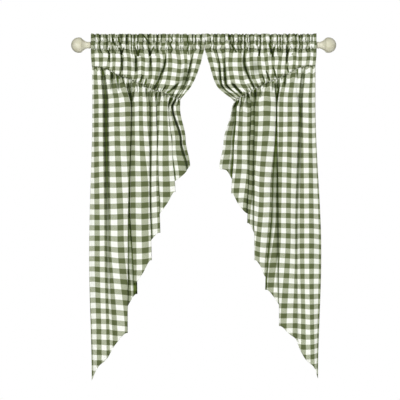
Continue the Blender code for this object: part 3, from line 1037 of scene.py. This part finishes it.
@dataclass
class Yoke:
    """The upper cloth of a curtain: a ruffled heading, the rod's pocket and a gathered panel.

    `rows` holds the drops of its coloured rows of checks, from the top. The ruffle and the scallops
    shape the heading, `crumpled` is the middle and the spread of its most crumpled band, the rolls
    and creases fade towards the seam, and the rows lag behind where the cloth is drawn inwards.
    """

    side: Side
    checks: tuple[Check, ...]
    rows: tuple[float, ...]
    rolls: tuple[Roll, ...]
    creases: tuple[Crease, ...]
    seam: Seam
    seed: int
    flat: tuple[float, float] = (0.67, 0.42)
    cut_area: float = 0.19
    spacing: float = 2.0
    panel_rows: int = 50
    row_crowding: float = 0.35
    ruffle_lean: float = 5.35
    ruffle_depth: float = 9.0
    ruffle_rise: float = 0.8
    scallop_above: float = 6.0
    scallop_depth: float = 8.0
    scallop_slack: float = 0.5
    tug_reach: float = 30.0
    crumpled: tuple[float, float] = (-8.0, 32.0)
    roll_least: float = 0.25
    roll_start: float = 0.12
    roll_fade: float = 12.0
    crease_fade: float = 8.0
    seam_turn: float = 0.8
    seam_reach: float = 2.5
    lag: float = 11.0
    lag_from: float = 5.0
    lag_over: float = 10.0

    def make(self, finish: Material) -> Piece:
        """Builds the yoke and hides the part of the construction that it replaces.

        Args:
            finish: The cloth's material.

        Returns:
            The yoke.
        """
        first, last = self.checks[0].number, self.checks[-1].number
        columns = int((last - first) * YOKE_CHECK[0] / self.spacing)
        numbers = np.linspace(first, last, columns)
        parts = (self.back_rows(numbers), self.front_rows(numbers), self.panel(numbers))
        points, grain = (np.concatenate(grids) for grids in zip(*parts))
        stitching, hem = self.find_stitches(points, grain)
        # Painted shade, kept in the fold_shade attribute: narrow folds and the gathers at the pocket and
        # the seam.
        shade = narrowness(points, shade_boost=6.0)
        front = len(BACK_DROPS)
        shade[front:] = np.maximum(shade[front:], self.drawn(points[front:]))
        sheet = ClothGrid(points, grain, stitching, hem, shade)
        yoke = sheet.build(self.side.node("gingham_yoke"), self.side, finish)
        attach(yoke, BODY)
        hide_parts(self.side.node("yoke"))
        LOG.info("%s: %d points", yoke.name, points.size // 3)
        return yoke

    def inward_at(self, numbers: Array, shares: Array) -> Array:
        """Where each column of the cloth lies at each share of the panel's drop: (row, column)."""
        table = np.array([(c.rod, c.upper, c.lower, c.seam) for c in self.checks])
        rows = flowing(shares, np.array(YOKE_STATIONS), table.T)
        places = np.array([c.number for c in self.checks])
        return np.stack([flowing(numbers, places, row) for row in rows])

    @property
    def stitches(self) -> Gathers:
        """The gathers that the two rows of stitches along the pocket draw up."""
        return Gathers.along(*ROD_ROW, spacing=(18.0, 18.0), reach=33.0, width=3.6, lean=0.25,
                             seed=self.seed)

    @property
    def puckers(self) -> Gathers:
        """The small puckers right at those stitches."""
        return Gathers.along(*ROD_ROW, spacing=(11.0, 11.0), **PUCKERS, seed=self.seed + 2)

    def drawn(self, rows: Array) -> Array:
        """How much painted shade the cloth drawn up by the pocket's stitches and by the seam is given."""
        away = np.abs(np.abs(rows[..., 2]) - POCKET_DROP)
        above = self.seam.drop_at(rows[-1, :, 0]) - rows[..., 2]
        stitched = self.puckers.shade(rows[..., 0], away, even=0.45, deeper=0.65, reach=6.0)
        return np.maximum(stitched, self.seam.drawn(rows[-1, :, 0], above))

    def back_rows(self, numbers: Array) -> tuple[Array, Array]:
        """The cloth behind the rod and the back of the heading: its points and its checks."""
        inward, depth, drop = self.lining(numbers, BACK_DROPS, BACK_PROFILE)
        number = np.broadcast_to(numbers, drop.shape)
        down = self.rows_at(np.array(HEADING_DROP)) - (drop - HEADING_DROP) / YOKE_CHECK[1]
        return np.stack([inward, depth, drop], axis=2), np.stack([number, down], axis=2)

    def lining(self, numbers: Array, drops: tuple[float, ...],
               profile: tuple[tuple[float, float], ...]) -> tuple[Array, Array, Array]:
        """Hangs rows of the heading and the pocket along their profile, before their gathers.

        Args:
            drops: The drop of each row.
            profile: The (drop, depth) places that the cloth runs through.

        Returns:
            The rows' inward places, depths and drops.
        """
        inward, drops = self.inward_at(numbers, np.zeros(1))[0], np.array(drops, float)
        depth = flowing(drops, *np.array(profile).T)[:, None] + self.ruffle(inward, drops)
        rise = smooth(1.0 - (drops - HEADING_DROP) / SCALLOP)[:, None]
        return np.broadcast_to(inward, depth.shape), depth, drops[:, None] + rise * self.scallops(inward)

    def ruffle(self, inward: Array, drops: Array) -> Array:
        """How the heading waves from front to back above its stitches: (row, column)."""
        rise = np.clip((-POCKET_DROP - drops) / (-POCKET_DROP - HEADING_DROP), 0.0, 1.0)
        crown = self.stitches.relief(inward, np.zeros_like(inward))
        wave = self.ruffle_lean - self.ruffle_depth * crown
        wave = wave + ripples(inward, 0.0, self.seed + 9, height=1.6, closer=(2.0, 1.0))
        return rise[:, None] ** self.ruffle_rise * wave

    def scallops(self, inward: Array) -> Array:
        """How far its gathers draw the heading's top fold down, which scallops it a little."""
        valley = 1.0 - self.stitches.relief(inward, np.full_like(inward, self.scallop_above))
        wave = ripples(inward, 0.0, self.seed + 5, height=1.3, closer=(5.0, 1.0))
        return np.maximum(self.scallop_depth * valley + wave - self.scallop_slack, 0.0)

    def front_rows(self, numbers: Array) -> tuple[Array, Array]:
        """The front of the heading and of the rod's pocket: its points and its checks."""
        inward, lining, drop = self.lining(numbers, FRONT_DROPS, FRONT_PROFILE)
        flat = np.array(FRONT_DROPS)[:, None]
        away = np.abs(np.abs(flat) - POCKET_DROP)
        crown = np.where(flat < -POCKET_DROP, HEADING_CROWN, POCKET_CROWN)
        swell = crown * smooth(away / CROWN_RISE + CROWN_LEAD)
        depth = lining - swell * self.stitches.relief(inward, away) + pressed(self.creases, inward, flat)
        depth = depth - self.puckers.crowns(inward, away, **PUCKER_CROWNS)
        rows = np.stack([inward, np.minimum(depth, lining), drop], axis=2)
        number = self.lay_columns(rows, numbers)
        tug = smooth((POCKET_DROP - drop) / self.tug_reach)
        number = number + tug * ripples(inward, drop, self.seed + 6, height=0.15, closer=(4.6, 2.0))
        return rows, np.stack([number, self.rows_at(drop) + self.drift(number, drop)], axis=2)

    def drift(self, number: Array, drop: Array) -> Array:
        """How far the rows of checks wander up and down."""
        cloth = number * YOKE_CHECK[0]
        slow = ripples(cloth, drop, self.seed + 7, height=0.05, closer=(1.7, 0.6))
        quick = ripples(cloth, drop, self.seed + 8, height=0.07, closer=(5.0, 5.0))
        middle, spread = self.crumpled
        return slow + quick * np.exp(-(((drop - middle) / spread) ** 2))

    def panel(self, numbers: Array) -> tuple[Array, Array]:
        """The panel from the pocket's lower stitches to the seam: its points and its checks."""
        steps = np.linspace(0.0, 1.0, self.panel_rows)
        shares = steps - self.row_crowding * np.sin(FULL_TURN * steps) / FULL_TURN
        inward = self.inward_at(numbers, shares)
        rod, foot = inward[0], inward[-1]
        seam_drop = self.seam.drop_at(foot)
        drop = POCKET_DROP + (seam_drop - POCKET_DROP) * shares[:, None]
        below, above = drop - POCKET_DROP, seam_drop - drop
        crowns = self.seam.above.crowns(foot, above, near=2.5, more=9.0, rise=8.0, fade=55.0)
        depth = FRONT_PROFILE[-1][1] * (1.0 - shares[:, None]) - self.seam.fullness(foot) * crowns
        depth = depth + self.roll_depth(numbers, shares) * smooth(above / self.roll_fade)
        depth = depth - self.stitches.crowns(rod, below, near=0.0, more=POCKET_CROWN, rise=CROWN_RISE,
                                             lead=CROWN_LEAD, fade=50.0)
        depth = depth - self.puckers.crowns(rod, below, **PUCKER_CROWNS)
        depth = depth - self.seam.puckers.crowns(foot, above, near=4.0, fade=11.0)
        depth = depth + pressed(self.creases, inward, drop) * smooth(above / self.crease_fade)
        depth = depth + self.seam_turn * smooth(1.0 - above / self.seam_reach)
        rows = np.stack([inward, depth, drop], axis=2)
        number = self.lay_columns(rows, numbers)
        lag = self.lag * smooth((number - self.lag_from) / self.lag_over)
        lag = lag * smooth(shares[:, None] / YOKE_STATIONS[1])
        return rows, np.stack([number, self.rows_at(drop - lag) + self.drift(number, drop)], axis=2)

    def rows_at(self, drop: Array) -> Array:
        """How many coloured rows lie above each drop."""
        return flowing(drop, np.array(self.rows), np.arange(len(self.rows), dtype=float))

    @staticmethod
    def lay_columns(rows: Array, numbers: Array) -> Array:
        """Spreads the cloth evenly over its gathers, between the columns that carry whole checks.

        Args:
            rows: The grid of points.

        Returns:
            The check at each point.
        """
        whole = np.searchsorted(numbers, np.arange(math.ceil(numbers[0]), math.floor(numbers[-1]) + 1))
        anchors = np.unique(np.concatenate([[0], whole, [len(numbers) - 1]]))
        lengths = arc_lengths(rows[..., :2])
        return np.stack([np.interp(length, length[anchors], numbers[anchors]) for length in lengths])

    def roll_depth(self, numbers: Array, shares: Array) -> Array:
        """How deep the long folds lie: (row, column)."""
        depth = np.zeros((len(shares), len(numbers)))
        for roll in self.rolls:
            middle = roll.top + (roll.foot - roll.top) * shares[:, None]
            off = np.abs(numbers[None] - middle) / roll.width
            shape = np.exp(-off) if roll.sharp else np.exp(-off * off)
            rise = np.where(shares < roll.peak, shares / roll.peak, (1.0 - shares) / (1.0 - roll.peak))
            run = self.roll_least + (1.0 - self.roll_least) * smooth(rise)
            depth = depth + roll.depth * run[:, None] * shape
        return depth * smooth(shares[:, None] / self.roll_start)

    @staticmethod
    def find_stitches(points: Array, grain: Array) -> tuple[Array, Array]:
        """Finds the pocket's two rows of stitches and the side hems.

        Args:
            points: The grid of points.
            grain: Its checks.

        Returns:
            The stitching map, and which points lie within a hem.
        """
        across, drop = grain[..., 0] * YOKE_CHECK[0], points[..., 2]
        rows = np.abs(np.abs(drop) - POCKET_DROP)
        from_side = from_sides(across) - HEM_STITCH
        near_side = np.abs(from_side) < rows
        along = np.where(near_side, drop, across)
        return np.stack([along, np.where(near_side, from_side, rows)], axis=2), from_side < 0


# --- rod and finials -------------------------------------------------------------------------------


@dataclass
class Finial:
    """A turned ball finial, with its neck, its groove and the collar that meets the rod.

    Heights run outwards along the rod's axis from the collar's face, in metres.
    """

    side: Side
    ball_radius: float = 0.0355
    ball_centre: float = 0.0535
    neck_end: float = 0.0410
    neck_start: float = 0.0145
    collar_radius: float = 0.0157
    collar_length: float = 0.0095
    groove_radius: float = 0.0134
    neck_curve: float = 1.7
    segments: int = 72
    rings: int = 48
    neck_rings: int = 14
    groove_rings: int = 8
    edge: float = 0.0015
    edge_rings: int = 4
    merge_gap: float = 0.00001
    crisp_angle: float = 50.0

    def make(self, finish: Material) -> Piece:
        """Turns the finial and hides the part of the construction that it replaces.

        Args:
            finish: The paint.

        Returns:
            The finial.
        """
        bpy.ops.object.select_all(action="DESELECT")
        bpy.ops.mesh.primitive_uv_sphere_add(segments=self.segments, ring_count=self.rings,
                                             radius=self.ball_radius, location=(0, 0, self.ball_centre))
        knob = bpy.context.active_object
        knob.name = knob.data.name = self.side.node("turned_finial")
        bpy.ops.object.transform_apply(location=True)
        bpy.ops.object.mode_set(mode="EDIT")
        bpy.ops.mesh.select_all(action="SELECT")
        bpy.ops.mesh.bisect(plane_co=(0, 0, self.neck_end), plane_no=(0, 0, 1), clear_inner=True)
        radius = math.sqrt(self.ball_radius**2 - (self.ball_centre - self.neck_end) ** 2)
        height = self.neck_end
        for next_radius, next_height in self.profile(radius):
            self.select_rim()
            bpy.ops.mesh.extrude_region_move(TRANSFORM_OT_translate={"value": (0, 0, next_height - height)})
            bpy.ops.transform.resize(value=(next_radius / radius, next_radius / radius, 1))
            radius, height = next_radius, next_height
        self.select_rim()
        bpy.ops.mesh.extrude_region_move(TRANSFORM_OT_translate={"value": (0, 0, 0)})
        bpy.ops.mesh.merge(type="CENTER")
        bpy.ops.mesh.select_all(action="SELECT")
        bpy.ops.mesh.remove_doubles(threshold=self.merge_gap)
        bpy.ops.mesh.normals_make_consistent(inside=False)
        bpy.ops.object.mode_set(mode="OBJECT")
        box_low, box_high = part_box(self.side.node("finial"))
        face = box_high[0] if self.side is Side.LEFT else box_low[0]
        knob.location = (face, 0, 0)
        knob.rotation_euler = (0, self.side.value * math.pi / 2, 0)
        bpy.ops.object.transform_apply(location=True, rotation=True)
        bpy.ops.object.shade_smooth_by_angle(angle=math.radians(self.crisp_angle))
        knob.data.materials.append(finish)
        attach(knob, BODY)
        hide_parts(self.side.node("finial"))
        LOG.info("%s: %d faces", knob.name, len(knob.data.polygons))
        return knob

    @staticmethod
    def select_rim() -> None:
        """Selects only the open rim."""
        bpy.ops.mesh.select_all(action="DESELECT")
        bpy.ops.mesh.select_non_manifold()

    def profile(self, start: float) -> list[tuple[float, float]]:
        """The turned outline from the ball's foot to the collar's face.

        Args:
            start: The radius of the ball where the neck leaves it.

        Returns:
            Radius and height of each ring.
        """
        rings = []
        for ring in range(1, self.neck_rings + 1):
            share = ring / self.neck_rings
            radius = self.collar_radius + (start - self.collar_radius) * (1 - share) ** self.neck_curve
            rings.append((radius, self.neck_end + (self.neck_start - self.neck_end) * share))
        middle = (self.neck_start + self.collar_length) / 2
        half = (self.neck_start - self.collar_length) / 2
        for ring in range(1, self.groove_rings + 1):
            share = ring / self.groove_rings
            dip = math.sin(math.pi * share)
            radius = self.collar_radius - (self.collar_radius - self.groove_radius) * dip
            rings.append((radius, middle + half * (1 - 2 * share)))
        for ring in range(self.edge_rings + 1):
            turn = math.pi / 2 * ring / self.edge_rings
            rings.append((self.collar_radius - self.edge * (1 - math.cos(turn)),
                          self.edge * (1 - math.sin(turn))))
        return rings


def dress_rod(finish: Material) -> Piece:
    """Gives the rod its paint.

    Args:
        finish: The paint.

    Returns:
        The rod.
    """
    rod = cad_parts["rod"]
    for place in rod.material_slots:
        place.material = finish
    LOG.info("%s: painted", rod.name)
    return rod


# --- studio ----------------------------------------------------------------------------------------


@dataclass(frozen=True)
class Lamp:
    """A soft area light: where it stands, how wide it is and how bright."""

    name: str
    place: tuple[float, float, float]
    width: float
    power: float

    def hang(self, target: Vector) -> None:
        """Makes the light and points it at the target."""
        data = bpy.data.lights.new(self.name, "AREA")
        data.shape, data.size, data.energy = "DISK", self.width, self.power
        lamp = bpy.data.objects.new(self.name, data)
        lamp.location = self.place
        lamp.rotation_euler = (target - Vector(self.place)).to_track_quat("-Z", "Y").to_euler()
        bpy.context.scene.collection.objects.link(lamp)


@dataclass
class Studio:
    """The plain room that the curtains hang in: a floor, soft lights and the camera.

    Its sizes are in metres. `frame_width` is how much the camera sees across at the rod, and
    `camera_shift` is how far to the right and above the curtains' middle it stands.
    """

    middle: Vector
    frame_width: float = 1.8476
    camera_away: float = 6.0
    camera_shift: tuple[float, float] = (-0.017, 0.033)
    floor_below: float = 1.20
    floor_width: float = 3.0
    sky: float = 0.20
    lamps: tuple[Lamp, ...] = (
        Lamp("key_light", (-0.8, -5.0, 0.5), 4.6, 256.0),
        Lamp("fill_light", (1.4, -4.8, -0.2), 1.2, 58.0),
        Lamp("window_light", (0.3, 4.2, 0.3), 3.0, 120.0),
    )

    def build(self) -> None:
        """Makes the whole studio."""
        self.add_camera()
        self.add_floor()
        self.add_sky()
        for lamp in self.lamps:
            lamp.hang(self.middle)
        bpy.context.scene.view_settings.view_transform = "Standard"
        LOG.info("studio: %d lights", len(self.lamps))

    def add_camera(self) -> None:
        """Sets the camera straight in front."""
        data = bpy.data.cameras.new("camera")
        data.lens = data.sensor_width * self.camera_away / self.frame_width
        camera = bpy.data.objects.new("camera", data)
        camera.location = (self.middle.x + self.camera_shift[0], -self.camera_away,
                           self.middle.z + self.camera_shift[1])
        camera.rotation_euler = (math.pi / 2, 0, 0)
        bpy.context.scene.collection.objects.link(camera)
        bpy.context.scene.camera = camera

    def add_floor(self) -> None:
        """Lays the floor below the curtains."""
        bpy.ops.object.select_all(action="DESELECT")
        bpy.ops.mesh.primitive_plane_add(size=self.floor_width,
                                         location=(0, 0, self.middle.z - self.floor_below))
        floor = bpy.context.active_object
        floor.name = floor.data.name = "floor"
        bpy.ops.object.transform_apply(location=True)
        floor.data.materials.append(PaleFloor().material())
        floor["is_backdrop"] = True

    def add_sky(self) -> None:
        """Fills the room with even light, and leaves it white where the camera looks past it."""
        room = Graph(bpy.data.worlds.new("room"))
        light, seen = (room.add("ShaderNodeBackground", {0: (1.0, 1.0, 1.0, 1.0), 1: strength}).outputs[0]
                       for strength in (self.sky, 1.0))
        looked_at = room.add("ShaderNodeLightPath").outputs["Is Camera Ray"]
        mixed = room.add("ShaderNodeMixShader", {0: looked_at, 1: light, 2: seen}).outputs[0]
        bpy.context.scene.world = room.finish(mixed, "World")


# --- the two curtains ------------------------------------------------------------------------------

LEFT_FOLDS = (
    Fold(5, 6, -9, 3, 1548, 0, (0, 0, 2), (0.55, 0.24, 0.05)),
    Fold(28, 35, 33, 32, 1487, 0, (-12, -12, -8), (1.23, 1.06, 0.88)),
    Fold(43, 53, 62, 70, 1452, 0, (-8, -9, -3), (1.75, 1.75, 1.70)),
    Fold(56, 68, 76, 84, 1432, 0, (21, 8, 3), (2.50, 2.40, 2.15)),
    Fold(67, 82, 89, 98, 1403, 0, (-7, -8, 0), (3.25, 3.20, 2.70)),
    Fold(100, 120, 122, 120, 1373, 0, (-13, -14, -10), (4.02, 3.74, 3.20)),
    Fold(158, 184, 170, 169, 1329, 4, (-3, -3, -2), (5.30, 4.62, 3.97)),
    Fold(166, 160, 125, 124, 1264, 3, (9, 6, 4), (5.75, 5.75, 4.80)),
    Fold(180, 193, 198, 213, 1150, -3, (15, 9, 6), (6.40, 7.30, 6.90)),
    Fold(190, 188, 180, 197, 1098, -3, (6, 4, 2), (7.80, 7.70, 7.95)),
    Fold(225, 225, 230, 236, 1058, 0, (-9, -10, -8), (8.85, 8.72, 8.75)),
    Fold(262, 270, 270, 280, 993, 4, (-3, -4, -3), (10.15, 9.35, 9.50)),
    Fold(272, 255, 231, 231, 941, 3, (9, 9, 9), (10.40, 10.10, 10.40)),
    Fold(292, 300, 310, 319, 867, 3, (11, 11, 11), (11.70, 12.00, 12.00)),
    Fold(302, 290, 272, 272, 816, 3, (18, 18, 18), (12.30, 12.60, 12.80)),
    Fold(335, 330, 339, 348, 736, 0, (12, 12, 12), (13.70, 13.93, 14.00)),
    Fold(360, 356, 375, 389, 678, 3, (15, 15, 15), (14.40, 14.55, 14.60)),
    Fold(368, 345, 346, 358, 636, 3, (22, 22, 22), (14.90, 15.00, 15.10)),
    Fold(386, 369, 408, 436, 588, 0, (5, 4, 6), (15.80, 16.05, 16.15)),
    Fold(392, 376, 415, 444, 573, 0, (26, 28, 26), (16.20, 16.40, 16.55)),
    Fold(398, 384, 422, 450, 565, 0, (2, 2, 3), (16.60, 16.72, 16.80)),
    Fold(412, 411, 437, 457, 557, 0, (5, 4, 4), (17.10, 17.10, 17.10)),
)

RIGHT_FOLDS = (
    Fold(4, 4, -23, -8, 1539, 0, (0, 0, 2), (0.15, 0.00, 0.00)),
    Fold(25, 34, 32, 12, 1486, 0, (-9, -10, -8), (1.20, 1.20, 0.88)),
    Fold(50, 62, 76, 48, 1453, 0, (-6, -5, -6), (1.75, 2.22, 1.75)),
    Fold(60, 72, 88, 75, 1406, 0, (13, 5, 4), (2.50, 2.80, 2.35)),
    Fold(70, 83, 98, 92, 1360, 0, (-5, -6, -5), (3.25, 3.25, 2.93)),
    Fold(105, 120, 124, 124, 1334, 0, (-12, -13, -11), (3.90, 3.87, 3.50)),
    Fold(165, 180, 174, 172, 1297, 4, (-3, -3, -2), (5.50, 5.05, 4.40)),
    Fold(174, 158, 125, 127, 1241, 3, (14, 8, 5), (6.50, 6.10, 5.40)),
    Fold(188, 192, 219, 235, 1130, -3, (18, 11, 7), (7.90, 7.90, 7.50)),
    Fold(198, 185, 204, 229, 1070, -3, (6, 4, 2), (8.35, 8.04, 8.00)),
    Fold(235, 240, 249, 256, 1024, 0, (-9, -10, -8), (9.15, 8.87, 8.60)),
    Fold(272, 284, 288, 286, 993, 4, (-5, -7, -6), (10.20, 9.90, 9.35)),
    Fold(281, 266, 247, 247, 932, 3, (12, 12, 12), (11.00, 11.00, 10.60)),
    Fold(300, 300, 309, 318, 822, 3, (11, 11, 11), (12.17, 12.17, 12.00)),
    Fold(308, 292, 292, 310, 778, 3, (18, 18, 18), (12.60, 12.65, 12.60)),
    Fold(330, 345, 350, 362, 730, 0, (12, 12, 12), (13.90, 13.90, 13.80)),
    Fold(350, 368, 381, 392, 685, 3, (8, 8, 10), (14.57, 14.57, 14.50)),
    Fold(358, 356, 360, 367, 641, 3, (26, 28, 28), (15.00, 15.00, 15.00)),
    Fold(368, 380, 404, 418, 576, 0, (22, 22, 20), (16.00, 16.00, 16.00)),
    Fold(380, 392, 428, 448, 571, 0, (12, 12, 12), (16.45, 16.45, 16.45)),
)

LEFT_LEVELS = (
    Level(0, 238, 228, 226),
    Level(6, 502, 500, 498),
    Level(12, 796, 789, 784),
    Level(16, 988, 1001, 990),
    Level(26, 1466, 1482, 1470),
)

RIGHT_LEVELS = (
    Level(0, 187, 184, 184),
    Level(3, 323, 316, 317),
    Level(11, 697, 692, 672),
    Level(26, 1392, 1385, 1360),
)

LEFT_CREASES = (
    Crease((188, 252), (170, 166), 9, 3.6),
    Crease((188, 250), (208, 188), 9, 3.6),
    Crease((51, 108), (56, 150), 9, 4.0),
    Crease((95, 128), (92, 250), 19, 6.6),
    Crease((121, 138), (130, 252), 19, 7.2),
    Crease((143, 148), (155, 196), 9, 4.5),
    Crease((212, 185), (216, 235), 8, 4.0),
    Crease((256, 205), (254, 262), 8, 4.0),
    Crease((300, 225), (302, 275), 7, 4.0),
)

RIGHT_CREASES = (
    Crease((182, 256), (166, 156), 10, 4.5),
    Crease((142, 138), (146, 212), 10, 4.5),
    Crease((89, 104), (84, 200), 8, 4.5),
    Crease((87, 195), (76, 305), 7, 5.0),
    Crease((201, 172), (201, 232), 8, 4.5),
    Crease((258, 192), (258, 262), 9, 4.5),
    Crease((280, 208), (285, 304), 9, 4.5),
    Crease((318, 230), (322, 300), 8, 4.0),
    Crease((345, 246), (352, 330), 8, 4.0),
)

LEFT_CHECKS = (
    Check(-0.25, 0, 0, 2, 4), Check(0, 9, 8, 10, 11), Check(1, 35, 46, 46, 44),
    Check(2, 72, 86, 84, 78), Check(3, 101, 103, 103, 103), Check(4, 139, 144, 140, 138),
    Check(5, 169, 175, 178, 175), Check(6, 201, 208, 209, 203), Check(7, 231, 241, 238, 231),
    Check(8, 268, 274, 275, 259), Check(9, 307, 314, 302, 286), Check(10, 333, 339, 321, 296),
    Check(11, 363, 365, 356, 333), Check(12, 399, 409, 400, 370), Check(13, 434, 439, 427, 392),
    Check(14, 467, 460, 440, 404), Check(15, 511, 493, 459, 410), Check(15.3, 523.3, 505, 467, 412),
)

RIGHT_CHECKS = (
    Check(-0.25, 0, 0, 2, 4), Check(0, 6, 8, 9, 11), Check(1, 42, 34, 38, 43),
    Check(2, 71, 78, 78, 78), Check(3, 96, 96, 100, 103), Check(4, 136, 137, 138, 140),
    Check(5, 169, 167, 173, 173), Check(6, 207, 200, 200, 203), Check(7, 239, 232, 223, 224),
    Check(8, 260, 264, 256, 247), Check(9, 306, 301, 295, 270), Check(10, 325, 331, 311, 284),
    Check(11, 352, 353, 345, 316), Check(12, 392, 399, 385, 339), Check(13, 431, 427, 420, 353),
    Check(14, 468, 448, 436, 367), Check(15, 496, 484, 455, 376), Check(15.3, 515.3, 494, 461, 380),
)

LEFT_ROWS = (-40.6, -6.0, 31.0, 68.0, 109.5, 146.0, 187.0, 225.0)
RIGHT_ROWS = (-45.0, -7.0, 27.0, 63.0, 103.0, 143.0, 181.0, 219.0)

LEFT_ROLLS = (
    Roll(2.0, 2.0, -4.0, 0.8),
    Roll(4.0, 4.0, 5.0, 0.6),
    Roll(5.0, 5.0, -5.0, 0.6),
    Roll(6.0, 6.0, 5.0, 0.6),
    Roll(7.0, 7.0, -4.0, 0.6),
    Roll(8.0, 8.0, 4.0, 0.6),
    Roll(9.0, 8.6, -8.0, 0.6),
    Roll(10.5, 9.4, 15.0, 0.12, sharp=True),
    Roll(11.6, 11.3, -10.0, 1.0),
    Roll(12.6, 12.6, 4.0, 0.7, peak=0.85),
    Roll(14.25, 13.2, 12.0, 0.12, sharp=True),
    Roll(15.0, 14.6, -8.0, 0.5),
)

RIGHT_ROLLS = (
    Roll(1.6, 1.6, -4.0, 0.8),
    Roll(3.0, 3.0, 4.0, 0.6),
    Roll(5.4, 5.4, -5.0, 0.7),
    Roll(7.6, 7.4, -5.0, 0.6),
    Roll(8.6, 8.4, 4.0, 0.5),
    Roll(9.3, 9.0, -7.0, 0.5),
    Roll(10.25, 9.9, 15.0, 0.12, sharp=True),
    Roll(11.5, 11.4, -10.0, 0.9),
    Roll(12.7, 13.0, 9.0, 0.14, sharp=True, peak=0.7),
    Roll(13.3, 13.8, -6.0, 0.4, peak=0.7),
    Roll(13.8, 14.3, 9.0, 0.12, sharp=True, peak=0.7),
    Roll(15.0, 15.0, -6.0, 0.5),
)

LEFT_YOKE_CREASES = (
    Crease((140, 41), (129, 6), 12),
    Crease((140, 41), (158, 4), 12),
    Crease((141, 60), (145, 130), 9),
    Crease((217, 46), (201, 4), 12),
    Crease((217, 46), (228, 10), 11),
    Crease((207, 54), (206, 142), 7),
    Crease((272, 46), (270, 10), 11),
    Crease((272, 46), (290, 8), 12),
    Crease((275, 62), (275, 112), 8),
    Crease((84, 26), (84, 92), 7),
    Crease((111, -1), (93, -40), 11),
    Crease((134, -4), (125, -44), 11),
    Crease((165, -8), (165, -56), 11),
    Crease((268, -10), (235, -56), 11),
    Crease((230, 170), (237, 130), 9),
    Crease((248, 182), (259, 148), 9),
    Crease((293, 202), (317, 160), 11),
    Crease((358, 218), (420, 162), 12, 4.6),
    Crease((330, 211), (350, 180), 8, 3.6),
)

RIGHT_YOKE_CREASES = (
    Crease((202, 47), (221, -12), 12),
    Crease((202, 47), (187, -12), 11),
    Crease((186, 148), (201, 92), 9),
    Crease((135, 47), (140, -10), 12),
    Crease((135, 47), (120, 4), 11),
    Crease((135, 45), (137, 100), 9),
    Crease((127, 132), (137, 94), 8),
    Crease((264, 47), (264, 8), 9),
    Crease((236, 178), (251, 128), 9),
    Crease((217, 160), (237, 106), 8),
    Crease((350, 218), (402, 165), 15, 5.2),
    Crease((404, -25), (406, -52), 9),
    Crease((372, 30), (400, -12), 11),
)

LEFT_SEAM = ((-20, 98), (55, 99), (115, 137), (190, 160), (280, 207), (330, 217), (440, 264))
RIGHT_SEAM = ((-20, 94), (80, 97), (130, 136), (195, 160), (280, 199), (325, 224), (440, 294))


def main() -> None:
    """Builds the studio, and the pair of curtains on their rod."""
    logging.basicConfig(level=logging.INFO, format="%(name)s: %(message)s")
    cad_low, cad_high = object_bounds()
    Studio(middle=(cad_low + cad_high) / 2).build()

    wood = Paint("painted_rod").material()
    dress_rod(wood)
    knobs = Paint("painted_finials").material()
    for side in Side:
        Finial(side).make(knobs)

    gingham = Gingham().material()
    left_seam, right_seam = Seam(LEFT_SEAM, seed=11), Seam(RIGHT_SEAM, seed=23)
    Yoke(Side.LEFT, LEFT_CHECKS, LEFT_ROWS, LEFT_ROLLS, LEFT_YOKE_CREASES, left_seam, seed=5).make(gingham)
    Yoke(Side.RIGHT, RIGHT_CHECKS, RIGHT_ROWS, RIGHT_ROLLS, RIGHT_YOKE_CREASES, right_seam,
         seed=17).make(gingham)
    Skirt(Side.LEFT, LEFT_FOLDS, LEFT_LEVELS, LEFT_CREASES, left_seam, seed=31).make(gingham)
    Skirt(Side.RIGHT, RIGHT_FOLDS, RIGHT_LEVELS, RIGHT_CREASES, right_seam, seed=43).make(gingham)


if __name__ == "__main__":
    main()
